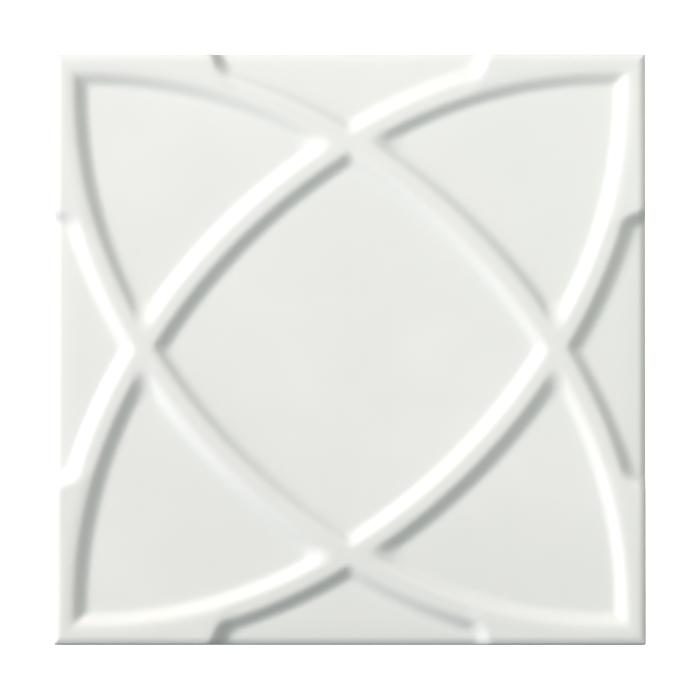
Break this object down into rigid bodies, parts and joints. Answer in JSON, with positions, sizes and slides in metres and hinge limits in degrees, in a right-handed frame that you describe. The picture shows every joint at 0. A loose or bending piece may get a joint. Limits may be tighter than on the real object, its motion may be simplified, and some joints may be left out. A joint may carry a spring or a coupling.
{
  "type": "porcelain relief tile",
  "caption": "Square white glazed wall tile with raised arc ridges that cross on its face and a rounded edge, flat on the back",
  "frame": {"origin": "middle of the back, on the plane that the tile lies on", "axes": "+Z out of the face, +X and +Y along two sides of the square"},
  "size_m": [0.2, 0.2, 0.0106],
  "materials": {
    "glazed_porcelain": "satin white glaze"
  },
  "bodies": {
    "root": {"porcelain_tile": "glazed_porcelain"}
  },
  "joints": []
}
